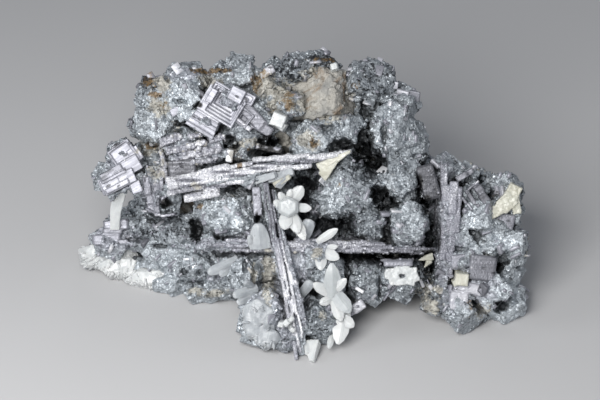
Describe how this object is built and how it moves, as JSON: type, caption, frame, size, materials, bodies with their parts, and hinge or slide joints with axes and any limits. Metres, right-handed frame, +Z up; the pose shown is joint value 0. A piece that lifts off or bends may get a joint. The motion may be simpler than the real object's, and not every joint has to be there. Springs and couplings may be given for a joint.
{
  "type": "galena crystal specimen",
  "caption": "Hand-sized cluster of skeletal, ribbed galena with sugary crystal lumps and white calcite crystals on grey-tan host rock, resting on a flat broken base.",
  "frame": {"origin": "centre of the footprint box, on the flat base", "axes": "+Z up; +X along the longest side, to the right of the display side; the display side faces -Y and leans back"},
  "size_m": [0.154, 0.0932, 0.0766],
  "materials": {
    "galena": "lead-grey metallic, sugary with sparkling faces, lavender-grey on the blades",
    "host_rock": "dull grey-tan rock with iron stain",
    "calcite": "milky white to cream, translucent"
  },
  "bodies": {
    "root": {"galena_cluster": "galena", "host_rock": "host_rock", "calcite_cream_box": "calcite", "calcite_cream_patch": "calcite", "calcite_cream_wedge": "calcite", "calcite_crown": "calcite", "calcite_crust_left": "calcite", "calcite_crust_nose": "calcite", "calcite_foot": "calcite", "calcite_hanging_blade": "calcite", "calcite_leaf": "calcite", "calcite_nose_knob": "calcite", "calcite_pale_pair": "calcite", "calcite_right_edge": "calcite", "calcite_rim_spikes": "calcite", "calcite_spire": "calcite", "calcite_spray_centre": "calcite", "calcite_spray_lower": "calcite", "calcite_tent": "calcite", "calcite_under_blade": "calcite", "calcite_wedge_blade": "calcite", "calcite_wedge_upper": "calcite"}
  },
  "joints": []
}
